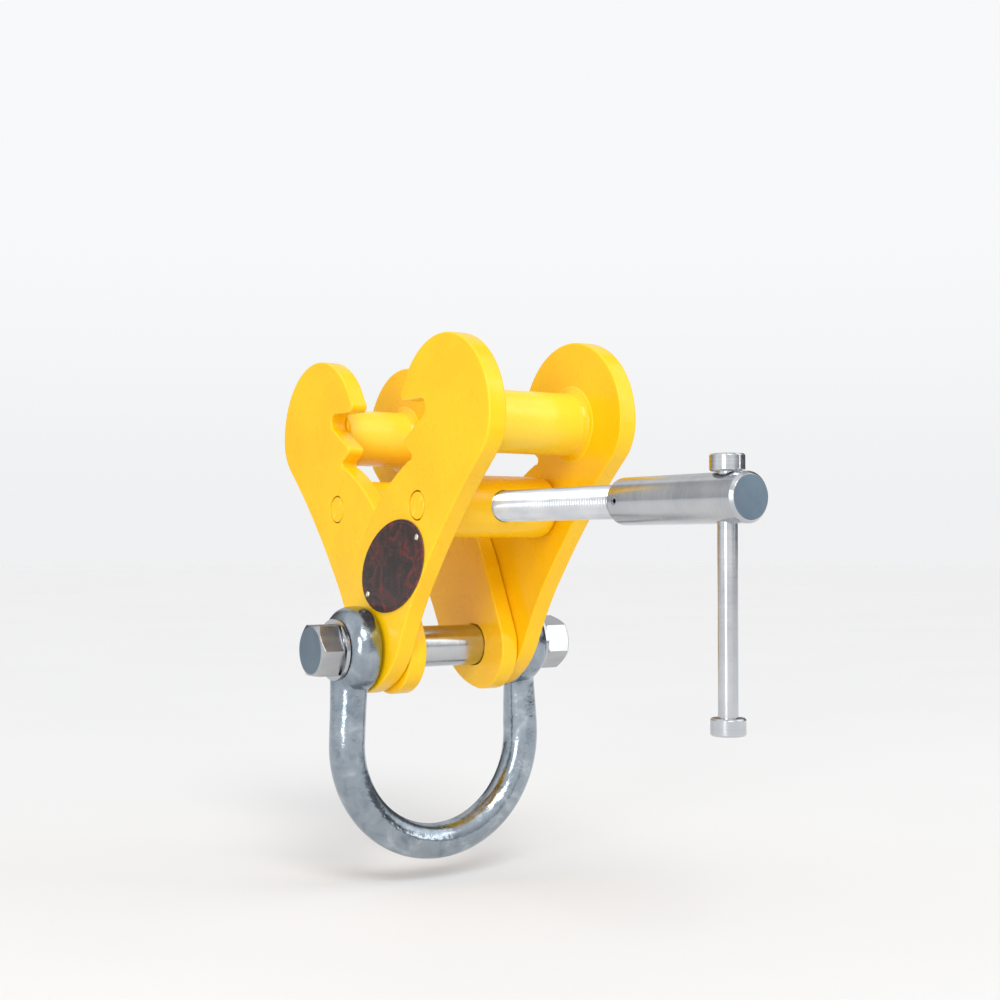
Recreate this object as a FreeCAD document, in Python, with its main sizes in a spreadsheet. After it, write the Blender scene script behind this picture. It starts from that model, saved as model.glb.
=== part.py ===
import FreeCAD, Part
import Sketcher

import math
import os
import re

# Beam clamp for a lifting point under an I-beam, in millimetres.
# X runs along the beam and the pivot bolt, Y across the beam with the tommy bar at -Y, Z up.
# The origin is midway between the jaws, on the level of the flange's top face, where the jaw lips bear.
# "Near" is the jaw beside the tommy bar, "far" is the other one.

DIMENSIONS = {
    # Jaw plates
    "plate_thick": 10, "near_face": 44, "plate_gap": 0.4,
    # Pivot bolt, its nut and washers; the pivot lies pivot_drop below the origin
    "pivot_drop": 128, "bolt_rad": 11, "bolt_hole_rad": 11.1, "hex_flats": 26, "head_high": 13,
    "nut_high": 16, "washer_thick": 2, "washer_rad": 16, "bolt_thread_rad": 8, "bolt_tail": 1.5,
    # Cross tubes between the plates of each jaw
    "tube_out": 75.7, "tube_up": 116.6, "tube_rad": 16, "tube_wall": 5, "weld_leg": 4,
    # Trunnions, and the spindle through them
    "trunnion_out": 52, "trunnion_up": 74.4, "trunnion_rad": 16, "journal_rad": 7,
    "run_clear": 0.05, "side_clear": 0.2, "screw_rad": 8, "screw_clear": 0.2,
    "screw_far_end": 116, "screw_in_head": 32, "head_start": 163, "head_end": 248.5, "head_rad": 11,
    "head_edge": 1, "roll_pin_at": 170, "roll_pin_rad": 2, "roll_pin_bore": 1.1,
    "stop_at": 104.5, "stop_thick": 2, "stop_rad": 13, "stop_pin_at": 110,
    # Tommy bar
    "tommy_at": 234, "tommy_rad": 4.3, "tommy_hole_rad": 4.6, "cap_rad": 7.6, "cap_high": 7.5,
    "tommy_long": 104, "cap_edge": 0.8,
    # Shackle
    "eye_gap": 1.5, "eye_thick": 16, "eye_rad": 22.5, "eye_hole_rad": 11.5, "eye_edge": 4,
    "bow_rad": 55, "bar_rad": 9.5, "leg_long": 50, "neck_foot": 38, "neck_top": 17,
    # Nameplate and its rivets
    "name_long": 32.6, "name_short": 22, "name_thick": 1, "name_out": 28.6, "name_up": 43.6,
    "name_tilt": 24, "rivet_tilt": 31, "rivet_rad": 1.8, "rivet_reach": 29, "rivet_high": 0.8,
}

LOBE_RADIUS = 42.5      # the round top of each jaw plate, concentric with its cross tube
LOBE_END_ANGLE = 0.0    # where the lobe turns into the plate's shoulder
LIP_JOIN_ANGLE = 148.6  # where the lobe meets the lip over the flange

doc = FreeCAD.newDocument("beam_clamp")
dims = doc.addObject("Spreadsheet::Sheet", "Dims")
parts = []


def fill_sheet():
    """One row per driving dimension, with its name beside it."""
    for row, (name, value) in enumerate(DIMENSIONS.items(), start=1):
        dims.set(f"A{row}", name)
        dims.set(f"B{row}", str(value))
        dims.setAlias(f"B{row}", name)
    doc.recompute()


def size(expression):
    """The same expression with each name taken from the sheet."""
    names = "|".join(rf"\b{name}\b" for name in DIMENSIONS)
    return re.sub(names, lambda found: f"Dims.{found[0]}", expression)


def bind(thing, **expressions):
    """Binds properties to sheet expressions."""
    for name, expression in expressions.items():
        thing.setExpression(name, size(expression))
    return thing


def place(thing, x="0", y="0", z="0", turn=None):
    """Binds the place of an object, after an optional turn (axis, degrees)."""
    if turn:
        rotation = FreeCAD.Rotation(FreeCAD.Vector(*turn[0]), turn[1])
        thing.Placement = FreeCAD.Placement(FreeCAD.Vector(), rotation)
    for axis, expression in zip("xyz", (x, y, z)):
        thing.setExpression(f".Placement.Base.{axis}", size(expression))
    return thing


def new(kind, name):
    return doc.addObject(kind, name)


ALONG_X = ((0, 1, 0), 90)
ALONG_Y = ((1, 0, 0), -90)
ALONG_Z = None


def rod(name, radius, length, turn, x="0", y="0", z="0"):
    """A round bar whose start is at the given place."""
    return place(bind(new("Part::Cylinder", name), Radius=radius, Height=length), x, y, z, turn)


def cone(name, start, end, length, turn, x="0", y="0", z="0"):
    shape = bind(new("Part::Cone", name), Radius1=start, Radius2=end, Height=length)
    return place(shape, x, y, z, turn)


def fuse(name, *shapes):
    joined = new("Part::MultiFuse", name)
    joined.Shapes = list(shapes)
    return joined


def cut(name, base, *tools):
    result = new("Part::Cut", name)
    result.Base = base
    result.Tool = tools[0] if len(tools) == 1 else fuse(f"{name}_tools", *tools)
    return result


def common(name, *shapes):
    result = new("Part::MultiCommon", name)
    result.Shapes = list(shapes)
    return result


def rounded(name, base, edges, radius):
    """Fillets the numbered edges of base."""
    result = new("Part::Fillet", name)
    result.Base = base
    result.Edges = [(edge, radius, radius) for edge in edges]
    return result


def keep(shape, label):
    """Marks a finished sub-part: its Label names its file."""
    shape.Label = label
    parts.append(shape)
    return shape


# Jaw plates -----------------------------------------------------------------------------------

def polar(radius, degrees):
    """A point on the lobe circle."""
    angle = math.radians(degrees)
    return (
        DIMENSIONS["tube_out"] + radius * math.cos(angle),
        DIMENSIONS["tube_up"] + radius * math.sin(angle),
    )


def jaw_outline():
    """The plate's edge as (via, end) steps from the lip over the flange, clockwise.

    Points are (outward from the beam's middle, up from the pivot). A step with no via is straight.
    """
    start = polar(LOBE_RADIUS, LIP_JOIN_ANGLE)
    steps = [
        (polar(LOBE_RADIUS, 60.0), polar(LOBE_RADIUS, LOBE_END_ANGLE)),  # round top
        ((116.0, 106.0), (109.7, 97.4)),                                  # shoulder
        ((82.2, 69.9), (57.5, 40.0)),                                     # outer edge
        ((45.0, 22.4), (34.6, 3.5)),
        ((20.7, -14.2), (0.0, -23.2)),                                    # foot round the pivot
        ((-23.3, -16.0), (-27.5, 8.0)),
        (None, (-12.0, 42.0)),                                            # inner edge
        ((9.0, 73.0), (43.5, 97.4)),                                      # waist
        ((46.4, 99.6), (44.8, 101.6)),                                    # relief below the nose
        (None, (40.8, 104.2)),
        ((38.8, 107.0), (41.0, 109.6)),                                   # nose
        (None, (56.0, 118.6)),                                            # ramp under the flange
        ((59.4, 124.0), (53.5, 128.0)),                                   # end of the flange slot
        (None, (38.0, 128.0)),                                            # bearing face of the lip
        ((35.2, 130.4), (36.4, 134.0)),                                   # lip tip
        (None, start),
    ]
    return start, steps


def plane_of(body, role):
    return next(o for o in body.Origin.OriginFeatures if o.Role == role)


def sketch_on(body, name, role="YZ_Plane"):
    sketch = body.newObject("Sketcher::SketchObject", name)
    sketch.AttachmentSupport = [(plane_of(body, role), "")]
    sketch.MapMode = "FlatFace"
    return sketch


def draw_outline(sketch, side):
    """Adds the jaw outline, mirrored to -Y for the near jaw (side -1)."""
    def point(uv):
        return FreeCAD.Vector(side * uv[0], uv[1], 0)

    at, steps = jaw_outline()
    for via, end in steps:
        if via is None:
            edge = Part.LineSegment(point(at), point(end))
        else:
            edge = Part.Arc(point(at), point(via), point(end))
        sketch.addGeometry(edge, False)
        at = end


def draw_hole(sketch, radius, out, up):
    """A circle whose radius and centre follow the sheet; out is signed along Y."""
    hole = sketch.addGeometry(Part.Circle(FreeCAD.Vector(1, 1, 0), FreeCAD.Vector(0, 0, 1), 5), False)
    sketch.addConstraint(Sketcher.Constraint("Radius", hole, 5))
    sketch.setExpression(f"Constraints[{sketch.ConstraintCount - 1}]", size(radius))
    for kind, value in (("DistanceX", out), ("DistanceY", up)):
        if value == "0":
            axis = -2 if kind == "DistanceX" else -1
            sketch.addConstraint(Sketcher.Constraint("PointOnObject", hole, 3, axis))
            continue
        sign = -1 if value.startswith("-") else 1
        ends = (-1, 1, hole, 3) if sign > 0 else (hole, 3, -1, 1)
        sketch.addConstraint(Sketcher.Constraint(kind, *ends, 1))
        sketch.setExpression(f"Constraints[{sketch.ConstraintCount - 1}]", size(value.lstrip("-")))


def jaw_plate(label, side, x):
    """One flame-cut plate: padded outline, then the bolt hole and the journal hole."""
    sign = "-" if side < 0 else ""
    body = new("PartDesign::Body", label)
    outline = sketch_on(body, f"{label}_outline")
    draw_outline(outline, side)
    pad = body.newObject("PartDesign::Pad", f"{label}_pad")
    pad.Profile = outline
    bind(pad, Length="plate_thick")
    doc.recompute()
    solid_volume = pad.Shape.Volume
    holes = sketch_on(body, f"{label}_holes")
    draw_hole(holes, "bolt_hole_rad", "0", "0")
    draw_hole(holes, "journal_rad + run_clear", f"{sign}trunnion_out", "trunnion_up")
    pocket = body.newObject("PartDesign::Pocket", f"{label}_pocket")
    pocket.Profile = holes
    pocket.Type = "ThroughAll"
    pocket.Midplane = True
    doc.recompute()
    if pocket.Shape.Volume >= solid_volume:
        raise RuntimeError(f"{label}: the holes cut nothing")
    place(body, x, "0", "-pivot_drop")
    return keep(body, label)


def cross_tube(label, side, half, hidden):
    """The welded tube that holds the two plates of a jaw apart."""
    y = f"{side} * tube_out"
    z = "tube_up - pivot_drop"
    outer = rod(f"{hidden}_outer", "tube_rad", f"2 * ({half})", ALONG_X, f"-({half})", y, z)
    inner = rod(f"{hidden}_inner", "tube_rad - tube_wall", f"2 * ({half})", ALONG_X, f"-({half})", y, z)
    return keep(cut(hidden, outer, inner), label)


def tube_welds(label, side, half, hidden):
    """The two fillet welds between a cross tube and its plates."""
    y = f"{side} * tube_out"
    z = "tube_up - pivot_drop"
    rings = []
    for end, x, turn in (("a", f"-({half})", ((0, 1, 0), 90)), ("b", half, ((0, 1, 0), -90))):
        bead = cone(f"{hidden}_bead_{end}", "tube_rad + weld_leg", "tube_rad", "weld_leg", turn, x, y, z)
        bore = rod(f"{hidden}_bore_{end}", "tube_rad", "weld_leg", turn, x, y, z)
        rings.append(cut(f"{hidden}_{end}", bead, bore))
    group = new("Part::Compound", hidden)
    group.Links = rings
    return keep(group, label)


# Trunnions ------------------------------------------------------------------------------------

def trunnion(label, side, half, hidden):
    """A cross bar with a journal at each end and the spindle's threaded hole through its middle."""
    y = f"{side} * trunnion_out"
    z = "trunnion_up - pivot_drop"
    body_half = f"{half} - side_clear"
    tip = f"{half} + plate_thick"
    barrel = rod(f"{hidden}_barrel", "trunnion_rad", f"2 * ({body_half})", ALONG_X, f"-({body_half})", y, z)
    journals = rod(f"{hidden}_journals", "journal_rad", f"2 * ({tip})", ALONG_X, f"-({tip})", y, z)
    hole = rod(f"{hidden}_hole", "screw_rad + screw_clear", "3 * trunnion_rad", ALONG_Y, "0",
               f"{y} - 1.5 * trunnion_rad", z)
    return keep(cut(hidden, fuse(f"{hidden}_bar", barrel, journals), hole), label)


# Spindle --------------------------------------------------------------------------------------

SPINDLE_Z = "trunnion_up - pivot_drop"


def spindle():
    """The two-handed screw, its head, the roll pin through both, and the end stop."""
    bar = rod("screw_bar", "screw_rad", "head_start + screw_in_head + screw_far_end", ALONG_Y, "0",
              "-head_start - screw_in_head", SPINDLE_Z)
    holes = [
        rod("screw_head_pin_hole", "roll_pin_rad", "4 * screw_rad", ALONG_X,
            "-2 * screw_rad", "-roll_pin_at", SPINDLE_Z),
        rod("screw_stop_pin_hole", "roll_pin_rad", "4 * screw_rad", ALONG_X,
            "-2 * screw_rad", "stop_pin_at", SPINDLE_Z),
    ]
    keep(cut("screw", bar, *holes), "spindle_screw")

    barrel = rod("head_barrel", "head_rad", "head_end - head_start", ALONG_Y, "0", "-head_end", SPINDLE_Z)
    doc.recompute()
    rims = [i for i, e in enumerate(barrel.Shape.Edges, 1) if isinstance(e.Curve, Part.Circle)]
    smooth = rounded("head_smooth", barrel, rims, DIMENSIONS["head_edge"])
    socket = rod("head_socket", "screw_rad", "screw_in_head + 1", ALONG_Y,
                 "0", "-head_start - screw_in_head", SPINDLE_Z)
    pin_hole = rod("head_pin_hole", "roll_pin_rad", "4 * head_rad", ALONG_X,
                   "-2 * head_rad", "-roll_pin_at", SPINDLE_Z)
    bar_hole = rod("head_bar_hole", "tommy_hole_rad", "4 * head_rad", ALONG_Z,
                   "0", "-tommy_at", f"{SPINDLE_Z} - 2 * head_rad")
    keep(cut("spindle_end", smooth, socket, pin_hole, bar_hole), "spindle_head")

    pins = (
        ("head_roll_pin", "-roll_pin_at", "head_rad - 0.4"),
        ("stop_roll_pin", "stop_pin_at", "screw_rad + 3"),
    )
    for label, at, reach in pins:
        pin = rod(f"{label}_outer", "roll_pin_rad", f"2 * ({reach})", ALONG_X, f"-({reach})", at, SPINDLE_Z)
        bore = rod(f"{label}_bore", "roll_pin_bore", f"2 * ({reach})", ALONG_X, f"-({reach})", at, SPINDLE_Z)
        keep(cut(f"{label}_shape", pin, bore), label)

    disc = rod("stop_disc", "stop_rad", "stop_thick", ALONG_Y, "0", "stop_at", SPINDLE_Z)
    hole = rod("stop_hole", "screw_rad + screw_clear", "stop_thick", ALONG_Y, "0", "stop_at", SPINDLE_Z)
    keep(cut("stop_ring", disc, hole), "end_stop_washer")


def tommy_bar():
    """The sliding bar, at rest hanging from its upper cap, and a cap at each end."""
    head_top = f"{SPINDLE_Z} + head_rad + 0.2"
    bar_bottom = f"{head_top} - tommy_long"
    keep(rod("tommy", "tommy_rad", "tommy_long", ALONG_Z, "0", "-tommy_at", bar_bottom), "tommy_rod")
    for label, z in (("tommy_cap_upper", head_top), ("tommy_cap_lower", f"{bar_bottom} - cap_high")):
        cap = rod(f"{label}_disc", "cap_rad", "cap_high", ALONG_Z, "0", "-tommy_at", z)
        doc.recompute()
        rims = [i for i, e in enumerate(cap.Shape.Edges, 1) if isinstance(e.Curve, Part.Circle)]
        keep(rounded(f"{label}_round", cap, rims, DIMENSIONS["cap_edge"]), label)


# Pivot bolt -----------------------------------------------------------------------------------

EYE_FACE = "near_face + eye_gap + eye_thick + 0.1"
BOLT_SEAT = f"{EYE_FACE} + washer_thick + 0.1"


def hexagon(name, height, turn, spin, x):
    """A hexagon across flats hex_flats, spun about the bolt, its outer corners turned off."""
    prism = new("Part::Prism", f"{name}_prism")
    prism.Polygon = 6
    bind(prism, Circumradius="hex_flats / sqrt(3)", Height=height)
    place(prism, x, "0", "-pivot_drop")
    spun = FreeCAD.Rotation(FreeCAD.Vector(1, 0, 0), spin)
    prism.Placement.Rotation = spun.multiply(FreeCAD.Rotation(FreeCAD.Vector(*turn[0]), turn[1]))
    wide = f"hex_flats / 2 - 0.6 + 1.75 * {height}"
    turned = cone(f"{name}_turned", wide, "hex_flats / 2 - 0.6", height, turn, x, "0", "-pivot_drop")
    return common(name, prism, turned)


def pivot_bolt():
    """Hexagon bolt with a reduced thread, its two washers and the nut."""
    shoulder = "near_face + eye_gap + eye_thick"
    tip = f"{BOLT_SEAT} + nut_high + bolt_tail"
    shank = rod("shank", "bolt_rad", f"({BOLT_SEAT}) + ({shoulder})", ALONG_X,
                f"-({BOLT_SEAT})", "0", "-pivot_drop")
    thread = rod("bolt_thread", "bolt_thread_rad", f"({tip}) - ({shoulder})", ALONG_X,
                 shoulder, "0", "-pivot_drop")
    head = hexagon("bolt_hexagon", "head_high", ((0, 1, 0), -90), 30, f"-({BOLT_SEAT})")
    keep(fuse("bolt", head, shank, thread), "pivot_bolt")

    nut = hexagon("nut_hexagon", "nut_high", ((0, 1, 0), 90), -11, BOLT_SEAT)
    bore = rod("nut_bore", "bolt_thread_rad", "nut_high", ALONG_X, BOLT_SEAT, "0", "-pivot_drop")
    keep(cut("nut", nut, bore), "pivot_nut")

    washers = (
        ("washer_head_side", f"-({EYE_FACE}) - washer_thick", "bolt_rad"),
        ("washer_nut_side", EYE_FACE, "bolt_thread_rad"),
    )
    for label, x, hole_radius in washers:
        disc = rod(f"{label}_disc", "washer_rad", "washer_thick", ALONG_X, x, "0", "-pivot_drop")
        hole = rod(f"{label}_hole", hole_radius, "washer_thick", ALONG_X, x, "0", "-pivot_drop")
        keep(cut(f"{label}_ring", disc, hole), label)


# Shackle --------------------------------------------------------------------------------------

def shackle():
    """The bow: two eyes outside the jaw plates, each with a forged neck, two legs and a half-round crown."""
    solids = []
    holes = []
    for name, side in (("left", -1), ("right", 1)):
        inner = "near_face + eye_gap"
        start = f"-({inner}) - eye_thick" if side < 0 else inner
        eye = rod(f"eye_{name}", "eye_rad", "eye_thick", ALONG_X, start, "0", "-pivot_drop")
        doc.recompute()
        rims = [i for i, e in enumerate(eye.Shape.Edges, 1) if isinstance(e.Curve, Part.Circle)]
        solids.append(rounded(f"eye_{name}_round", eye, rims, DIMENSIONS["eye_edge"]))
        holes.append(rod(f"eye_{name}_hole", "eye_hole_rad", "eye_thick", ALONG_X, start, "0", "-pivot_drop"))
        solids.append(rod(f"leg_{name}", "bar_rad", "leg_long - neck_foot", ALONG_Z, f"{side} * bow_rad", "0",
                          "-pivot_drop - leg_long"))
        foot = bind(new("Part::Circle", f"neck_{name}_foot"), Radius="bar_rad")
        place(foot, f"{side} * bow_rad", "0", "-pivot_drop - neck_foot")
        top = bind(new("Part::Circle", f"neck_{name}_top"), Radius="eye_thick / 2 - 1")
        place(top, f"{side} * (near_face + eye_gap + eye_thick / 2)", "0", "-pivot_drop - neck_top")
        neck = new("Part::Loft", f"neck_{name}")
        neck.Sections = [foot, top]
        neck.Solid = True
        solids.append(neck)
    crown = new("Part::Torus", "crown")
    bind(crown, Radius1="bow_rad", Radius2="bar_rad")
    crown.Angle3 = 180
    place(crown, "0", "0", "-pivot_drop - leg_long", ((1, 0, 0), -90))
    solids.append(crown)
    keep(cut("bow", fuse("bow_blank", *solids), *holes), "shackle_bow")


# Nameplate ------------------------------------------------------------------------------------

def nameplate():
    """A plain oval plate on the near jaw's outer face, held by a rivet at each end."""
    turn = FreeCAD.Rotation(FreeCAD.Vector(1, 0, 0), -DIMENSIONS["name_tilt"])
    oval = new("Part::Ellipse", "name_edge")
    bind(oval, MajorRadius="name_long", MinorRadius="name_short")
    plate = new("Part::Extrusion", "name_oval")
    plate.Base = oval
    plate.DirMode = "Custom"
    plate.Dir = FreeCAD.Vector(0, 0, 1)
    plate.Solid = True
    bind(plate, LengthFwd="name_thick")
    lay = FreeCAD.Rotation(FreeCAD.Vector(0, 1, 0), FreeCAD.Vector(0, 0, 1), FreeCAD.Vector(1, 0, 0), "ZXY")
    plate.Placement = FreeCAD.Placement(FreeCAD.Vector(), turn.multiply(lay))
    for axis, expression in zip("xyz", ("-near_face - name_thick", "-name_out", "name_up - pivot_drop")):
        plate.setExpression(f".Placement.Base.{axis}", size(expression))
    rivets = []
    holes = []
    for name, way in (("upper", -1), ("lower", 1)):
        y = f"-name_out + {way} * rivet_reach * cos(rivet_tilt * 1deg)"
        z = f"name_up - pivot_drop - {way} * rivet_reach * sin(rivet_tilt * 1deg)"
        holes.append(rod(f"rivet_hole_{name}", "rivet_rad", "name_thick", ALONG_X, "-near_face - name_thick", y, z))
        outside = "-near_face - name_thick"
        stem = rod(f"rivet_{name}_stem", "rivet_rad", "name_thick", ALONG_X, outside, y, z)
        dome = cone(f"rivet_{name}_dome", "rivet_rad + 0.7", "rivet_rad", "rivet_high",
                    ((0, 1, 0), -90), outside, y, z)
        rivets.append(fuse(f"rivet_{name}", stem, dome))
    keep(cut("name_drilled", plate, *holes), "nameplate")
    group = new("Part::Compound", "rivets")
    group.Links = rivets
    keep(group, "nameplate_rivets")


# Assembly -------------------------------------------------------------------------------------

def jaws():
    near_half = "near_face - plate_thick"
    far_half = "near_face - 2 * plate_thick - plate_gap"
    for name, side, half in (("near", -1, near_half), ("far", 1, far_half)):
        jaw_plate(f"{name}_plate_left", side, f"-({half}) - plate_thick")
        jaw_plate(f"{name}_plate_right", side, half)
        cross_tube(f"{name}_cross_tube", side, half, f"{name}_tube")
        tube_welds(f"{name}_tube_welds", side, half, f"{name}_welds")
        trunnion(f"{name}_trunnion", side, half, f"{name}_swivel")


def check_and_write():
    doc.recompute()
    for thing in doc.Objects:
        if "Invalid" in thing.State or "Error" in thing.State:
            raise RuntimeError(f"{thing.Name} failed: {thing.State}")
    os.makedirs("parts", exist_ok=True)
    for part in parts:
        if part.Shape.isNull() or not part.Shape.isValid():
            raise RuntimeError(f"{part.Label} has no valid shape")
        part.Shape.exportStep(f"parts/{part.Label}.step")
        print(f"{part.Label:20s} {part.Shape.Volume / 1000:8.2f} cm3, {len(part.Shape.Solids)} solids")




fill_sheet()
jaws()
spindle()
tommy_bar()
pivot_bolt()
shackle()
nameplate()
check_and_write()
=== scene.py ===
"""The beam clamp's visible pieces, their materials and the studio.

X runs along the pivot bolt, Y along the spindle with the tommy bar at -Y, Z up. Blender works in
metres. Shapes are drawn in millimetres, and a piece's centre is given in metres.
"""

import math

import bmesh
import bpy
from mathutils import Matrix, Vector
from mathutils.geometry import delaunay_2d_cdt


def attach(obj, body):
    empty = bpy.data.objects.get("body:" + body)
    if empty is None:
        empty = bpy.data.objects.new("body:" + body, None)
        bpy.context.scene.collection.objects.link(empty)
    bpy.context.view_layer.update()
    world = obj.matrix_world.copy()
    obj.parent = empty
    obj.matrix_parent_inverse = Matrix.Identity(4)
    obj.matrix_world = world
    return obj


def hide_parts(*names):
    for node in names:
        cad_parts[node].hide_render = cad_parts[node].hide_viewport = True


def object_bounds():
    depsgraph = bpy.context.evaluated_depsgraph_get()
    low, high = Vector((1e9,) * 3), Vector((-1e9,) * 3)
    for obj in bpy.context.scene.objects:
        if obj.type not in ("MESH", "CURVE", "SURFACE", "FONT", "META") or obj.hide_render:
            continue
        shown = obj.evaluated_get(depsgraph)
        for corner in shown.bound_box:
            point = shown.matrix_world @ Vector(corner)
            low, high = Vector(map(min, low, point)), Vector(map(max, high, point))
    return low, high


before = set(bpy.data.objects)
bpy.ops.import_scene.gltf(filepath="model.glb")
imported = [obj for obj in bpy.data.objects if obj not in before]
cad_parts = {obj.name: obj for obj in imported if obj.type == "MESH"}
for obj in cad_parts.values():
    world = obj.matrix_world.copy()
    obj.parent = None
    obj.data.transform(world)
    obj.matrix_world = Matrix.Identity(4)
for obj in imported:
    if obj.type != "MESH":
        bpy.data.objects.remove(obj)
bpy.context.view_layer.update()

MM = 0.001
PIVOT_Z = -128 * MM     # pivot bolt axis
SPINDLE_Z = -53.6 * MM  # spindle axis
PIVOT = (0, 0, PIVOT_Z)

# Jaws, in millimetres: outwards from the pivot bolt, upwards from it, or across from the middle
SIDE = {"near": -1, "far": 1}             # the way each jaw leans along Y
INNER_FACE = {"near": 34.0, "far": 23.6}  # inner faces of the plates
PLATE_THICK = 10.0
TUBE_OUT = 75.7                           # cross tube's middle line
TUBE_UP = 116.6
TUBE_RADIUS = 16
TRUNNION_OUT = 52.0
TRUNNION_UP = 74.4

FILLET_STEPS = 5  # facets round a turned fillet


# Mesh helpers ---------------------------------------------------------------------------------

def make_object(name, mesh):
    piece = bpy.data.objects.new(name, mesh)
    bpy.context.scene.collection.objects.link(piece)
    return piece


def from_bmesh(name, bm):
    bmesh.ops.recalc_face_normals(bm, faces=bm.faces)
    mesh = bpy.data.meshes.new(name)
    bm.to_mesh(mesh)
    bm.free()
    return make_object(name, mesh)


def from_millimetres(name, bm, centre=PIVOT):
    """Takes a shape drawn in millimetres round its own origin to its centre in metres."""
    bmesh.ops.scale(bm, vec=(MM, MM, MM), verts=bm.verts)
    bmesh.ops.translate(bm, vec=Vector(centre), verts=bm.verts)
    return from_bmesh(name, bm)


def bridge(bm, one, two):
    """Faces between two closed rings of vertices; a ring of one vertex is a pole."""
    count = max(len(one), len(two))
    for k in range(count):
        n = (k + 1) % count
        if len(one) == 1:
            bm.faces.new((one[0], two[k], two[n]))
        elif len(two) == 1:
            bm.faces.new((one[k], one[n], two[0]))
        else:
            bm.faces.new((one[k], one[n], two[n], two[k]))


def freeze(piece):
    """Turns the modifiers' result into the piece's own mesh."""
    bpy.context.view_layer.update()
    evaluated = piece.evaluated_get(bpy.context.evaluated_depsgraph_get())
    mesh = bpy.data.meshes.new_from_object(evaluated)
    piece.modifiers.clear()
    piece.data = mesh
    return piece


def boolean(piece, tool, operation="DIFFERENCE"):
    """Cuts, joins or intersects with a tool, and throws the tool away."""
    step = piece.modifiers.new("boolean", "BOOLEAN")
    step.operation = operation
    step.solver = "MANIFOLD"
    step.object = tool
    freeze(piece)
    bpy.data.objects.remove(tool)
    return piece


def bevel(piece, width):
    """Rounds the edges sharper than 35 degrees."""
    step = piece.modifiers.new("bevel", "BEVEL")
    step.width = width
    step.segments = 2
    step.limit_method = "ANGLE"
    step.angle_limit = math.radians(35)
    step.use_clamp_overlap = True
    return freeze(piece)


def smooth(piece, angle, weighted=True):
    """Smooth shading with crisp edges above the angle; large faces keep their own normals."""
    for polygon in piece.data.polygons:
        polygon.use_smooth = True
    piece.data.set_sharp_from_angle(angle=math.radians(angle))
    if weighted:
        step = piece.modifiers.new("normals", "WEIGHTED_NORMAL")
        step.keep_sharp = True
        freeze(piece)
    return piece


def rounded(corners):
    """A (along, radius) profile from (along, radius, fillet) corners."""
    points = []
    for i, (a, r, fillet) in enumerate(corners):
        here = Vector((a, r))
        if fillet == 0 or i in (0, len(corners) - 1):
            points.append(here)
            continue
        before = Vector(corners[i - 1][:2]) - here
        after = Vector(corners[i + 1][:2]) - here
        half = before.angle(after) / 2
        reach = fillet / math.tan(half)
        start = here + before.normalized() * reach
        end = here + after.normalized() * reach
        middle = (before.normalized() + after.normalized()).normalized()
        centre = here + middle * (fillet / math.sin(half))
        for k in range(FILLET_STEPS + 1):
            ray = (start - centre).lerp(end - centre, k / FILLET_STEPS)
            points.append(centre + ray.normalized() * fillet)
    return points


AXES = {
    "x": lambda a, u, v: Vector((a, u, v)),
    "y": lambda a, u, v: Vector((u, a, v)),
    "z": lambda a, u, v: Vector((u, v, a)),
}


def lathe(name, axis, corners, centre, segments=72):
    """A turned solid: (along, radius, fillet) corners in millimetres from pole to pole."""
    bm = bmesh.new()
    rings = []
    for a, r in rounded(corners):
        if r < 1e-6:
            rings.append([bm.verts.new(AXES[axis](a, 0, 0))])
            continue
        ring = []
        for k in range(segments):
            turn = 2 * math.pi * k / segments
            ring.append(bm.verts.new(AXES[axis](a, r * math.cos(turn), r * math.sin(turn))))
        rings.append(ring)
    for one, two in zip(rings, rings[1:]):
        bridge(bm, one, two)
    if len(rings[0]) > 1 and len(rings[-1]) > 1:  # a ring-shaped solid closes on itself
        bridge(bm, rings[-1], rings[0])
    return from_millimetres(name, bm, centre)


def drill(piece, axis, radius, start, end, centre, segments=48):
    """Drills a round hole; radius and reach in millimetres, centre in metres."""
    shape = [(start, 0, 0), (start, radius, 0), (end, radius, 0), (end, 0, 0)]
    return boolean(piece, lathe("drill", axis, shape, centre, segments))


def sweep(name, path, radii, segments):
    """A bar along a path of points in millimetres; radii(fraction) gives its two half widths there."""
    points = [Vector(p) * MM for p in path]
    bm = bmesh.new()
    rings = []
    side = None
    for i, point in enumerate(points):
        ahead = (points[min(i + 1, len(points) - 1)] - points[max(i - 1, 0)]).normalized()
        if side is None:
            side = ahead.orthogonal().normalized()
        side = (side - ahead * side.dot(ahead)).normalized()
        up = ahead.cross(side)
        size = radii(i / (len(points) - 1))
        ring = []
        for k in range(segments):
            turn = 2 * math.pi * k / segments
            offset = side * (math.cos(turn) * size[0]) + up * (math.sin(turn) * size[1])
            ring.append(bm.verts.new(point + offset * MM))
        rings.append(ring)
    for one, two in zip(rings, rings[1:]):
        bridge(bm, one, two)
    bm.faces.new(rings[0])
    bm.faces.new(rings[-1])
    return from_bmesh(name, bm)


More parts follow.
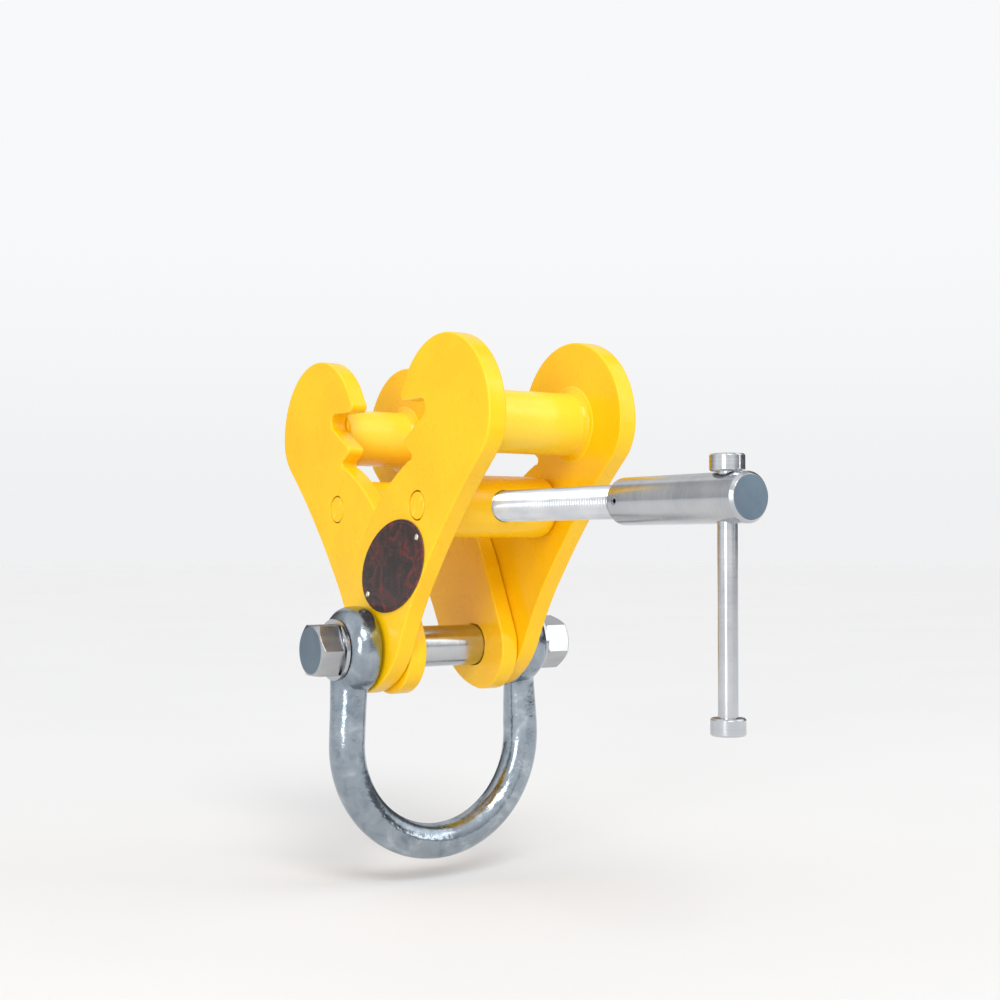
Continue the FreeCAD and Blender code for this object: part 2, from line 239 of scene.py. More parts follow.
def thread(name, axis, start, end, crest, root, pitch, hand, centre, segments=40):
    """A threaded bar in millimetres; hand(along) is +1 right, -1 left and 0 where it has no thread."""
    chamfer_long = 1.2
    chamfer_deep = 0.3  # below the thread's root
    bm = bmesh.new()
    step = pitch / 8
    count = int(round((end - start) / step))
    rings = []
    for i in range(count + 1):
        a = start + i * step
        way = hand(a)
        chamfer = min(1.0, min(a - start, end - a) / chamfer_long)
        ring = []
        for k in range(segments):
            turn = 2 * math.pi * k / segments
            wave = math.cos(2 * math.pi * a / pitch - way * turn)
            depth = (crest - root) * min(1.0, 0.5 - 0.62 * wave + 0.12) if way else 0.35 * (crest - root)
            r = crest - max(0.0, depth)
            r = min(r, root - chamfer_deep + chamfer * (crest - root + chamfer_deep))
            ring.append(bm.verts.new(AXES[axis](a, r * math.cos(turn), r * math.sin(turn))))
        rings.append(ring)
    for one, two in zip(rings, rings[1:]):
        bridge(bm, one, two)
    bm.faces.new(rings[0])
    bm.faces.new(rings[-1])
    return from_millimetres(name, bm, centre)


def hexagon(name, start, end, turn_degrees):
    """A hexagonal prism along X, in millimetres, on the pivot's axis."""
    bm = bmesh.new()
    radius = HEX_FLATS / math.sqrt(3)
    rings = []
    for a in (start, end):
        ring = []
        for k in range(6):
            turn = math.radians(60 * k + turn_degrees)
            ring.append(bm.verts.new((a, radius * math.cos(turn), radius * math.sin(turn))))
        rings.append(ring)
    bridge(bm, *rings)
    bm.faces.new(rings[0])
    bm.faces.new(rings[1])
    return from_millimetres(name, bm)


# Materials ------------------------------------------------------------------------------------

class Shader:
    """A small builder for one procedural material on a Principled shader."""

    def __init__(self, name, **sockets):
        self.material = bpy.data.materials.new(name)
        self.material.use_nodes = True
        self.tree = self.material.node_tree
        self.principled = self.tree.nodes["Principled BSDF"]
        for socket, value in sockets.items():
            self.principled.inputs[socket.replace("_", " ")].default_value = value
        self.where = self.tree.nodes.new("ShaderNodeTexCoord").outputs["Object"]

    def link(self, output, socket):
        self.tree.links.new(output, socket)

    def noise(self, scale, detail=3.0, roughness=0.5, stretch=None, distortion=0.0):
        node = self.tree.nodes.new("ShaderNodeTexNoise")
        node.inputs["Scale"].default_value = scale
        node.inputs["Detail"].default_value = detail
        node.inputs["Roughness"].default_value = roughness
        node.inputs["Distortion"].default_value = distortion
        self.link(self.stretched(stretch), node.inputs["Vector"])
        return node.outputs["Fac"]

    def cells(self, scale):
        node = self.tree.nodes.new("ShaderNodeTexVoronoi")
        node.inputs["Scale"].default_value = scale
        self.link(self.where, node.inputs["Vector"])
        return node.outputs["Distance"]

    def stretched(self, stretch):
        """Object coordinates, in metres, scaled by a factor on each axis."""
        if stretch is None:
            return self.where
        node = self.tree.nodes.new("ShaderNodeMapping")
        node.inputs["Scale"].default_value = stretch
        self.link(self.where, node.inputs["Vector"])
        return node.outputs["Vector"]

    def ramp(self, factor, *stops):
        """A smooth colour ramp; each stop is (position, (r, g, b)) or (position, grey)."""
        node = self.tree.nodes.new("ShaderNodeValToRGB")
        ramp = node.color_ramp
        ramp.interpolation = "EASE"
        for i, (position, colour) in enumerate(stops):
            stop = ramp.elements[i] if i < 2 else ramp.elements.new(position)
            stop.position = position
            rgb = colour if isinstance(colour, tuple) else (colour, colour, colour)
            stop.color = (*rgb, 1.0)
        self.link(factor, node.inputs["Fac"])
        return node.outputs["Color"]

    def span(self, factor, low, high, from_low=0.3, from_high=0.7):
        """Maps from_low to low and from_high to high, and holds the ends."""
        node = self.tree.nodes.new("ShaderNodeMapRange")
        node.inputs["From Min"].default_value = from_low
        node.inputs["From Max"].default_value = from_high
        node.inputs["To Min"].default_value = low
        node.inputs["To Max"].default_value = high
        self.link(factor, node.inputs["Value"])
        return node.outputs["Result"]

    def mix(self, factor, one, two):
        """A blend of two colours or factors, from one at 0 to two at 1."""
        node = self.tree.nodes.new("ShaderNodeMix")
        node.data_type = "RGBA"
        if isinstance(factor, float):
            node.inputs["Factor"].default_value = factor
        else:
            self.link(factor, node.inputs["Factor"])
        for side, value in (("A", one), ("B", two)):
            socket = [s for s in node.inputs if s.name == side and s.type == "RGBA"][0]
            if isinstance(value, tuple):
                socket.default_value = (*value, 1.0)
            else:
                self.link(value, socket)
        return [s for s in node.outputs if s.type == "RGBA"][0]

    def edges(self, low=0.52, high=0.6):
        """1 on convex edges, 0 on flats, from the mesh's curvature."""
        geometry = self.tree.nodes.new("ShaderNodeNewGeometry")
        return self.span(geometry.outputs["Pointiness"], 0.0, 1.0, low, high)

    def bump(self, *layers):
        """Layers of (height, strength, distance in metres), stacked."""
        normal = None
        for height, strength, distance in layers:
            node = self.tree.nodes.new("ShaderNodeBump")
            node.inputs["Strength"].default_value = strength
            node.inputs["Distance"].default_value = distance
            self.link(height, node.inputs["Height"])
            if normal:
                self.link(normal, node.inputs["Normal"])
            normal = node.outputs["Normal"]
        self.link(normal, self.principled.inputs["Normal"])

    def base(self, colour):
        self.link(colour, self.principled.inputs["Base Color"])

    def rough(self, value):
        self.link(value, self.principled.inputs["Roughness"])


def yellow_paint():
    """Thick glossy enamel: orange peel, slow colour drift, and a painted highlight: a lighter yellow on
    the convex edges.
    """
    s = Shader("yellow_paint", IOR=1.38, Coat_Weight=0.18, Coat_Roughness=0.08)
    deep = (0.95, 0.53, 0.002)
    bright = (1.0, 0.59, 0.003)
    dirt = (0.66, 0.36, 0.01)
    # painted highlight: the lighter yellow laid on the convex edges
    edge_highlight = (1.0, 0.68, 0.04)
    drift = s.ramp(s.noise(28, 4), (0.3, deep), (0.7, bright))
    grime = s.span(s.noise(75, 6, 0.65), 0.0, 0.02, 0.56, 0.8)
    s.base(s.mix(s.edges(), s.mix(grime, drift, dirt), edge_highlight))
    s.rough(s.span(s.noise(160, 4), 0.24, 0.38))
    s.bump((s.noise(260, 2), 0.1, 0.0006), (s.noise(900, 2), 0.06, 0.0002))
    return s.material


def zinc(name, stretch, tone, rough=(0.14, 0.26), depth=0.04, tint=(1.0, 1.0, 1.0)):
    """Zinc plate over a turned surface; its tool marks are finest along stretch's largest axis."""
    s = Shader(name, Metallic=1.0)
    marks = s.noise(1.0, 3, 0.6, stretch)
    cloud = s.noise(55, 5, 0.6)
    low = tuple(tone * share * hue for share, hue in zip((0.84, 0.88, 0.95), tint))
    high = tuple(tone * share * hue for share, hue in zip((1.10, 1.12, 1.14), tint))
    clouded = s.ramp(cloud, (0.3, low), (0.7, high))
    marked = s.ramp(marks, (0.35, low), (0.65, high))
    s.base(s.mix(0.35, clouded, marked))
    s.rough(s.span(s.mix(0.5, cloud, marks), *rough))
    s.bump((marks, depth, 0.00012), (s.noise(420, 3), 0.05, 0.0003))
    return s.material


def galvanised():
    """A hot-dipped forging: mottled zinc with soft dents, fine grain and small pits."""
    s = Shader("galvanised", Metallic=1.0)
    cloud = s.noise(95, 6, 0.62, distortion=0.4)
    patch = s.noise(26, 3)
    dull = (0.22, 0.27, 0.32)
    middle = (0.34, 0.39, 0.44)
    bright = (0.50, 0.55, 0.60)
    tone = s.ramp(cloud, (0.30, dull), (0.50, middle), (0.72, bright))
    s.base(s.mix(s.span(patch, 0.0, 0.3), tone, dull))
    s.rough(s.span(s.mix(0.5, cloud, patch), 0.12, 0.26))
    dents = (s.noise(90, 4, 0.55), 0.5, 0.0012)
    grain = (s.noise(700, 3), 0.1, 0.0003)
    pits = (s.cells(320), 0.05, 0.0003)
    s.bump(dents, grain, pits)
    return s.material


def lacquer():
    """The nameplate's dark lacquer: black marbled with red, rubbed bright at its rim."""
    s = Shader("nameplate_lacquer", IOR=1.38, Coat_Weight=0.12, Coat_Roughness=0.12)
    marble = s.noise(85, 6, 0.62, distortion=1.6)
    black = (0.020, 0.012, 0.012)
    brown = (0.050, 0.018, 0.016)
    red = (0.18, 0.014, 0.013)
    tone = s.ramp(marble, (0.38, black), (0.52, brown), (0.64, red))
    s.base(s.mix(s.edges(0.55, 0.64), tone, (0.35, 0.33, 0.31)))
    s.rough(s.span(s.noise(300, 4), 0.16, 0.32))
    s.bump((s.noise(500, 4), 0.1, 0.0002))
    return s.material


MATERIALS = {
    "yellow_paint": yellow_paint(),
    "turned_x": zinc("zinc_turned_x", (1400, 22, 22), 0.54),
    "turned_y": zinc("zinc_turned_y", (22, 1400, 22), 0.54),
    "turned_z": zinc("zinc_turned_z", (22, 22, 1400), 0.58),
    "thread": zinc("zinc_thread", (300, 60, 300), 0.68, (0.16, 0.26), 0.03),
    "hexagon": zinc("zinc_hexagon", (90, 260, 260), 0.46, (0.15, 0.26), 0.03),
    # a darker, bluish copy of the zinc: painted shade for faces that look one way
    "painted_dark_reflection": zinc("zinc_painted_dark_reflection", (200, 200, 200), 0.22, (0.28, 0.4), 0.06, (0.85, 1.1, 1.32)),
    "spring_steel": zinc("spring_steel", (700, 90, 90), 0.5, (0.22, 0.36), 0.05),
    "rivet": zinc("rivet_bright", (500, 500, 500), 0.8, (0.2, 0.3), 0.03, (1.0, 0.93, 0.72)),
    "galvanised": galvanised(),
    "lacquer": lacquer(),
}


def paint_shade_on_faces(piece, way):
    """Gives the piece's faces that look along way a darker, bluish copy of its zinc: painted shade, a
    painted dark reflection of the surroundings that way.
    """
    piece.data.materials.append(MATERIALS["painted_dark_reflection"])
    squarely = 0.97  # cosine of the most that a face may lean
    for face in piece.data.polygons:
        if face.normal.dot(Vector(way)) > squarely:
            face.material_index = 1


def finish_piece(piece, body, material, node):
    """Gives the piece its material, rides it on its body, and lets it stand for the CAD node."""
    piece.data.materials.clear()
    piece.data.materials.append(MATERIALS[material])
    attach(piece, body)
    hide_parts(node)


# Jaw plates -----------------------------------------------------------------------------------

LOBE = Vector((TUBE_OUT, TUBE_UP))  # the round top of a plate is centred on its cross tube
LOBE_RADIUS = 42.5


def on_lobe(degrees):
    """The point of the round top at an angle from outwards, turning upwards."""
    turn = math.radians(degrees)
    return LOBE + LOBE_RADIUS * Vector((math.cos(turn), math.sin(turn)))


JAW = [  # (via, end) steps, outward and up from the pivot in millimetres; no via means straight
    (on_lobe(60), on_lobe(0)),          # round top
    ((116.0, 106.0), (109.7, 97.4)),
    ((82.2, 69.9), (57.5, 40.0)),       # outer edge
    ((45.0, 22.4), (34.6, 3.5)),
    ((20.7, -14.2), (0.0, -23.2)),      # foot round the pivot
    ((-23.3, -16.0), (-27.5, 8.0)),
    (None, (-12.0, 42.0)),              # inner edge
    ((9.0, 73.0), (43.5, 97.4)),
    ((46.4, 99.6), (44.8, 101.6)),      # tooth under the flange
    (None, (40.8, 104.2)),
    ((38.8, 107.0), (41.0, 109.6)),
    (None, (56.0, 118.6)),              # slot for the flange
    ((59.4, 124.0), (53.5, 128.0)),
    (None, (38.0, 128.0)),
    ((35.2, 130.4), (36.4, 134.0)),     # lip over the flange
    (None, on_lobe(148.6)),
]


def arc(start, via, end):
    """Points on the circle through three points, from just after start to end."""
    a, b, c = Vector(start), Vector(via), Vector(end)
    d = 2 * (a.x * (b.y - c.y) + b.x * (c.y - a.y) + c.x * (a.y - b.y))
    aa, bb, cc = a.length_squared, b.length_squared, c.length_squared
    centre = Vector((
        (aa * (b.y - c.y) + bb * (c.y - a.y) + cc * (a.y - b.y)) / d,
        (aa * (c.x - b.x) + bb * (a.x - c.x) + cc * (b.x - a.x)) / d,
    ))
    radius = (a - centre).length
    angles = [math.atan2((p - centre).y, (p - centre).x) for p in (a, b, c)]
    span = (angles[2] - angles[0]) % (2 * math.pi)
    if (angles[1] - angles[0]) % (2 * math.pi) > span:
        span -= 2 * math.pi
    longest, widest = 1.6, math.radians(9)  # the most that one facet may span
    count = max(3, int(abs(span) * radius / longest), int(abs(span) / widest))
    turns = (angles[0] + span * (i + 1) / count for i in range(count))
    return [centre + radius * Vector((math.cos(turn), math.sin(turn))) for turn in turns]


def outline():
    """The plate's edge as a closed list of points."""
    at = JAW[-1][1]
    points = []
    for via, end in JAW:
        points += [Vector(end)] if via is None else arc(at, via, end)
        at = end
    return points


def inset(points, distance):
    """The closed outline moved inwards; it runs clockwise."""
    moved = []
    count = len(points)
    for i, point in enumerate(points):
        before = (point - points[i - 1]).normalized()
        after = (points[(i + 1) % count] - point).normalized()
        one = Vector((before.y, -before.x))
        two = Vector((after.y, -after.x))
        middle = (one + two).normalized()
        moved.append(point + middle * (distance / max(0.6, middle.dot(one))))
    return moved


BOLT_HOLE = 11.4     # radii of a plate's holes
JOURNAL_HOLE = 7.7
HOLE_SEGMENTS = 64


def cap(bm, rings, holes):
    """Fills the area inside the first ring, leaving the round holes (y, z, radius) open."""
    verts = [v for ring in rings for v in ring]
    flat = [v.co.yz for v in verts]
    edges = []
    start = 0
    for ring in rings:
        edges += [(start + k, start + (k + 1) % len(ring)) for k in range(len(ring))]
        start += len(ring)
    points, _, triangles, origin, _, _ = delaunay_2d_cdt(flat, edges, [], 1, 1e-7)
    within = 0.999 * math.cos(math.pi / HOLE_SEGMENTS)  # a hole's facets lie inside its radius
    for triangle in triangles:
        middle = (points[triangle[0]] + points[triangle[1]] + points[triangle[2]]) / 3
        if all((middle - Vector((y, z))).length > radius * within for y, z, radius in holes):
            bm.faces.new([verts[origin[i][0]] for i in triangle])


def plate(name, side, x):
    """A flame-cut plate from x towards +X, its edges eased by paint and grinding."""
    ease = 1.1         # radius of the outer edges
    ease_steps = 4
    hole_ease = 0.35   # chamfer of the holes
    outer = outline()
    holes = [(0.0, 0.0, BOLT_HOLE), (side * TRUNNION_OUT, TRUNNION_UP, JOURNAL_HOLE)]
    profile = []
    for k in range(ease_steps + 1):
        turn = math.radians(90 * k / ease_steps)
        profile.append((ease * (1 - math.cos(turn)), ease * (1 - math.sin(turn))))
    profile += [(PLATE_THICK - depth, pull) for depth, pull in reversed(profile)]
    through = (
        (0, hole_ease), (hole_ease, 0), (PLATE_THICK - hole_ease, 0), (PLATE_THICK, hole_ease),
    )
    bm = bmesh.new()
    rings = []
    for depth, pull in profile:
        rings.append([bm.verts.new((x + depth, side * p.x, p.y)) for p in inset(outer, pull)])
    stacks = [rings]
    for y, z, radius in holes:
        stack = []
        for depth, pull in through:
            ring = []
            for k in range(HOLE_SEGMENTS):
                turn = 2 * math.pi * k / HOLE_SEGMENTS
                r = radius + pull
                ring.append(bm.verts.new((x + depth, y + r * math.cos(turn), z + r * math.sin(turn))))
            stack.append(ring)
        stacks.append(stack)
    for stack in stacks:
        for one, two in zip(stack, stack[1:]):
            bridge(bm, one, two)
    for end in (0, -1):
        cap(bm, [stack[end] for stack in stacks], holes)
    return smooth(from_millimetres(name, bm), 38)


def jaw_plates():
    for jaw, inner in INNER_FACE.items():
        for hand, x in (("left", -inner - PLATE_THICK), ("right", inner)):
            node = f"{jaw}_plate_{hand}"
            piece = plate(f"{node}_eased", SIDE[jaw], x)
            finish_piece(piece, f"{jaw}_jaw", "yellow_paint", node)


# Cross tubes and their welds ------------------------------------------------------------------

def weld_bead(name, side, x, way):
    """A hollow fillet weld round a cross tube, where it meets the plate at x; it runs towards way."""
    root = TUBE_RADIUS - 0.1  # the bead starts just inside the tube
    mean_leg = 3.9
    hollow = 0.16             # share of the leg that the face sinks by
    face_steps = 6
    segments = 168
    bm = bmesh.new()
    rings = []
    for k in range(segments):
        turn = 2 * math.pi * k / segments
        ripple = 0.07 * math.cos(34 * turn)
        wander = 0.14 * math.sin(5 * turn + side)
        leg = mean_leg + ripple + wander
        ring = []
        for step in range(face_steps + 1):
            t = step / face_steps
            sag = hollow * math.sin(math.pi * t) * leg
            along = leg * t - sag
            out = leg * (1 - t) - sag
            r = root + out
            y = side * TUBE_OUT + r * math.cos(turn)
            ring.append(bm.verts.new((x + way * along, y, TUBE_UP + r * math.sin(turn))))
        y = side * TUBE_OUT + root * math.cos(turn)
        ring.append(bm.verts.new((x, y, TUBE_UP + root * math.sin(turn))))
        rings.append(ring)
    for k in range(segments):
        bridge(bm, rings[k], rings[(k + 1) % segments])
    return smooth(from_millimetres(name, bm), 50, weighted=False)


def welds():
    for jaw, inner in INNER_FACE.items():
        for hand, x, way in (("left", -inner, 1), ("right", inner, -1)):
            bead = weld_bead(f"{jaw}_weld_{hand}", SIDE[jaw], x, way)
            finish_piece(bead, f"{jaw}_jaw", "yellow_paint", f"{jaw}_tube_welds")


# Trunnions ------------------------------------------------------------------------------------

BARREL = (16, 4.5)  # radius, and the fillet at its ends
JOURNAL = (7, 0.6)  # the round ends that turn in the plates
JOURNAL_ROOT = 7
BORE = 8.25         # for the spindle
BORE_MOUTH = 10.2


def trunnions():
    """Round bars across each jaw, bored for the spindle, with journals in the plates' holes."""
    for jaw, inner in INNER_FACE.items():
        half = inner - 0.2
        tip = inner + PLATE_THICK
        corners = [
            (-tip, 0, 0), (-tip, *JOURNAL), (-half, JOURNAL_ROOT, 0), (-half, *BARREL),
            (half, *BARREL), (half, JOURNAL_ROOT, 0), (tip, *JOURNAL), (tip, 0, 0),
        ]
        centre = (0, SIDE[jaw] * TRUNNION_OUT * MM, SPINDLE_Z)
        piece = lathe(f"{jaw}_trunnion_turned", "x", corners, centre)
        through = [
            (-17, 0, 0), (-17, BORE_MOUTH, 0), (-14.2, BORE, 0),
            (14.2, BORE, 0), (17, BORE_MOUTH, 0), (17, 0, 0),
        ]
        boolean(piece, lathe("bore", "y", through, centre, 48))
        smooth(piece, 38)
        finish_piece(piece, f"{jaw}_swivel", "yellow_paint", f"{jaw}_trunnion")


# Spindle and tommy bar ------------------------------------------------------------------------

PITCH = 2.0  # of the spindle's and the bolt's thread
ROD_RADIUS = 8.0
ROD_ROOT = 6.85    # radius at the thread's root
ROD_END = 116.0    # along Y, like the next four lines
ROD_PLAIN = 4      # no thread within this much of the middle
HEAD_START, HEAD_END = -163.0, -248.5  # the sleeve on the spindle
HEAD_PIN_AT, STOP_PIN_AT = -170.0, 110.0
TOMMY_AT = -234.0
HEAD_RADIUS = 11.0
HEAD_PIN_HOLE, STOP_PIN_HOLE = 2.02, 2.15
TOMMY_HOLE, TOMMY_FLARE = 4.6, 6.0     # radii inside the sleeve and at its surface
TOMMY_TOP = -42.4      # underside of the upper cap, along Z
TOMMY_BOTTOM = -146.4  # top of the lower cap
CAP_HIGH = 7.5
CAP_RADIUS, CAP_FACE = 7.6, 7.0
REACH = 12  # drills start and end this far from the spindle's axis


def spindle():
    """The threaded rod, and the sleeve on it that takes the tommy bar."""
    centre = (0, 0, SPINDLE_Z)

    def hand(a):
        """Left-hand near the tommy bar, right-hand at the far end, plain in the middle."""
        return 0 if abs(a) < ROD_PLAIN else (-1 if a < 0 else 1)

    start = HEAD_START - 3  # hidden in the sleeve
    screw = thread("spindle_thread", "y", start, ROD_END, ROD_RADIUS, ROD_ROOT, PITCH, hand, centre)
    drill(screw, "x", STOP_PIN_HOLE, -REACH, REACH, (0, STOP_PIN_AT * MM, SPINDLE_Z), 24)
    smooth(screw, 60, weighted=False)
    finish_piece(screw, "spindle", "thread", "spindle_screw")

    corners = [
        (HEAD_END, 0, 0), (HEAD_END, 9.7, 0.25), (HEAD_END + 1.5, HEAD_RADIUS, 0.4),
        (HEAD_START, HEAD_RADIUS, 2.6), (HEAD_START, 0, 0),
    ]
    head = lathe("spindle_head_turned", "y", corners, centre, 96)
    tommy_hole = (0, TOMMY_AT * MM, SPINDLE_Z)
    drill(head, "y", ROD_RADIUS + 0.12, HEAD_START - 4, HEAD_START + 1, centre)
    drill(head, "x", HEAD_PIN_HOLE, -REACH, REACH, (0, HEAD_PIN_AT * MM, SPINDLE_Z), 32)
    drill(head, "z", TOMMY_HOLE, -REACH, REACH, tommy_hole)
    for way in (-1, 1):
        inner, outer = way * 9.4, way * REACH
        flare = [(inner, 0, 0), (inner, TOMMY_HOLE, 0), (outer, TOMMY_FLARE, 0), (outer, 0, 0)]
        boolean(head, lathe("flare", "z", flare, tommy_hole, 48))
    smooth(head, 38)
    finish_piece(head, "spindle", "turned_y", "spindle_head")
    # painted shade: the sleeve's end face takes the darker zinc copy
    paint_shade_on_faces(head, (0, -1, 0))


def tommy_bar():
    """The caps at the ends of the rod, which is a kept CAD node."""
    centre = (0, TOMMY_AT * MM, 0)
    caps = (("tommy_cap_upper", TOMMY_TOP), ("tommy_cap_lower", TOMMY_BOTTOM - CAP_HIGH))
    for name, start in caps:
        end = start + CAP_HIGH
        corners = [
            (start, 0, 0), (start, CAP_FACE, 0.3), (start + 0.7, CAP_RADIUS, 0.3),
            (end - 0.7, CAP_RADIUS, 0.3), (end, CAP_FACE, 0.3),
        ]
        if name == "tommy_cap_upper":  # the rod's riveted end shows above this one
            corners += [(end, 4.9, 0.2), (end + 0.25, 4.2, 0.1), (end + 0.25, 0, 0)]
        else:
            corners.append((end, 0, 0))
        turned = lathe(f"{name}_turned", "z", corners, centre, 64)
        smooth(turned, 38)
        finish_piece(turned, "tommy_bar", "turned_z", name)


# Pivot bolt and nut ---------------------------------------------------------------------------

SEAT = 63.7      # where the bolt head and the nut bear on their washers
SHOULDER = 61.7  # where the plain shank ends and the thread begins
HEX_FLATS = 26
HEX_CORNER = 14.9  # radius that the hexagons' corners are turned to
HEX_FACE = 12.2    # radius of their flat ends
HEX_CHAMFER = 1.6  # length of the chamfer between the two
HEAD_HIGH = 13
HEAD_WASHER = (0.6, 12.7)  # height and radius of the washer face under the head
HEAD_TURN, NUT_TURN = 0, 19  # degrees
NUT_HIGH = 16
NUT_SEAT = 12.4    # radius of the nut's seat
NUT_SINK = 9.2     # radius of the countersink at its outer end
SHANK_RADIUS = 11
THREAD_RADIUS = 8.0
THREAD_ROOT = 6.9
BOLT_TAIL = 1.5    # thread showing past the nut


def pivot_bolt():
    """The bolt's head, shank and thread, and the nut."""
    tip = -SEAT - HEAD_HIGH
    high, rim = HEAD_WASHER
    head = hexagon("bolt_head", tip, -SEAT, HEAD_TURN)
    shape = [
        (tip, 0, 0), (tip, HEX_FACE, 0.4), (tip + HEX_CHAMFER, HEX_CORNER, 0),
        (-SEAT - high, HEX_CORNER, 0), (-SEAT - high, rim, 0), (-SEAT, rim, 0), (-SEAT, 0, 0),
    ]
    boolean(head, lathe("chamfer", "x", shape, PIVOT, 96), "INTERSECT")
    bevel(head, 0.35 * MM)
    smooth(head, 30)
    finish_piece(head, "pivot", "hexagon", "pivot_bolt")
    # painted shade: the bolt head's end face takes the darker zinc copy
    paint_shade_on_faces(head, (-1, 0, 0))

    start = -SEAT - 1  # inside the head
    shape = [(start, 0, 0), (start, SHANK_RADIUS, 0), (SHOULDER, SHANK_RADIUS, 0), (SHOULDER, 0, 0)]
    shank = lathe("bolt_shank", "x", shape, PIVOT)
    smooth(shank, 38)
    finish_piece(shank, "pivot", "turned_x", "pivot_bolt")

    start = SHOULDER - 1  # inside the shank
    tip = SEAT + NUT_HIGH + BOLT_TAIL
    crest, root = THREAD_RADIUS, THREAD_ROOT
    tail = thread("bolt_thread", "x", start, tip, crest, root, PITCH, lambda a: 1, PIVOT, 56)
    smooth(tail, 60, weighted=False)
    finish_piece(tail, "pivot", "thread", "pivot_bolt")

    end = SEAT + NUT_HIGH
    bore = THREAD_RADIUS + 0.05
    nut = hexagon("nut_hexagon", SEAT, end, NUT_TURN)
    shape = [
        (SEAT, bore, 0), (SEAT, NUT_SEAT, 0), (SEAT + HEX_CHAMFER, HEX_CORNER, 0),
        (end - HEX_CHAMFER, HEX_CORNER, 0), (end, HEX_FACE, 0), (end, NUT_SINK, 0), (end - 1.1, bore, 0),
    ]
    boolean(nut, lathe("chamfer", "x", shape, PIVOT, 96), "INTERSECT")
    bevel(nut, 0.3 * MM)
    smooth(nut, 30)
    finish_piece(nut, "pivot", "hexagon", "pivot_nut")


# Shackle --------------------------------------------------------------------------------------

BAR_RADIUS = 9.5
BOW_RADIUS = 55.0   # of the crown's middle line
LEG_OUT = 53.5      # of a leg's upper end, out from the middle plane
LEG_SPREAD = 1.5    # from there to the crown
LEG_START = 8       # the leg's upper end, down from the bolt
LEG_LONG = 50.0     # from the bolt down to the crown's middle
EYE_INNER, EYE_OUTER = 45.5, 61.4  # faces of the eyes, out from the middle plane
EYE_RADIUS = 22.5
EYE_BORE = 11.75


def shackle():
    """A forged bow: the legs swell out of rounded eyes and meet in a half-round crown."""
    leg_steps = 12
    crown_steps = 48
    neck_share = 0.14  # of the bow's length, for each neck
    pivot = PIVOT_Z / MM
    leg = []
    for step in range(leg_steps + 1):
        t = step / leg_steps
        drop = (LEG_LONG - LEG_START) * t
        leg.append((-LEG_OUT - LEG_SPREAD * t, 0, pivot - LEG_START - drop))
    crown = []
    for step in range(1, crown_steps):
        turn = math.pi * step / crown_steps
        drop = LEG_LONG + BOW_RADIUS * math.sin(turn)
        crown.append((-BOW_RADIUS * math.cos(turn), 0, pivot - drop))
    path = leg + crown + [(-x, y, z) for x, y, z in reversed(leg)]

    def half_widths(t):
        """Along the bolt, then across it: thinner beside the eyes and round below them."""
        neck = max(0.0, 1 - min(t, 1 - t) / neck_share)
        return BAR_RADIUS - 1.7 * neck, BAR_RADIUS + 1.2 * neck * neck

    bow = sweep("shackle_forging", path, half_widths, 40)
    for side in (-1, 1):
        inner, outer = side * EYE_INNER, side * EYE_OUTER
        corners = [(inner, 0, 0), (inner, EYE_RADIUS, 1.5), (outer, EYE_RADIUS, 8.5), (outer, 0, 0)]
        boolean(bow, lathe("eye", "x", corners, PIVOT, 96), "UNION")
    melt = bow.modifiers.new("melt", "REMESH")
    melt.mode = "VOXEL"
    melt.voxel_size = 0.85 * MM
    soften = bow.modifiers.new("soften", "SMOOTH")
    soften.factor = 0.5
    soften.iterations = 14
    freeze(bow)
    drill(bow, "x", EYE_BORE, -70, 70, PIVOT, 72)
    smooth(bow, 50, weighted=False)
    finish_piece(bow, "shackle", "galvanised", "shackle_bow")


# Nameplate ------------------------------------------------------------------------------------

NAME_FACE = 45.0   # outer face of the nameplate, out from the middle plane
NAME_OUT, NAME_UP = 28.6, 43.6
NAME_LONG, NAME_SHORT = 32.6, 22.0
NAME_TILT = 24     # degrees from level, of the long axis
RIVET_REACH = 29.0
RIVET_TILT = 31


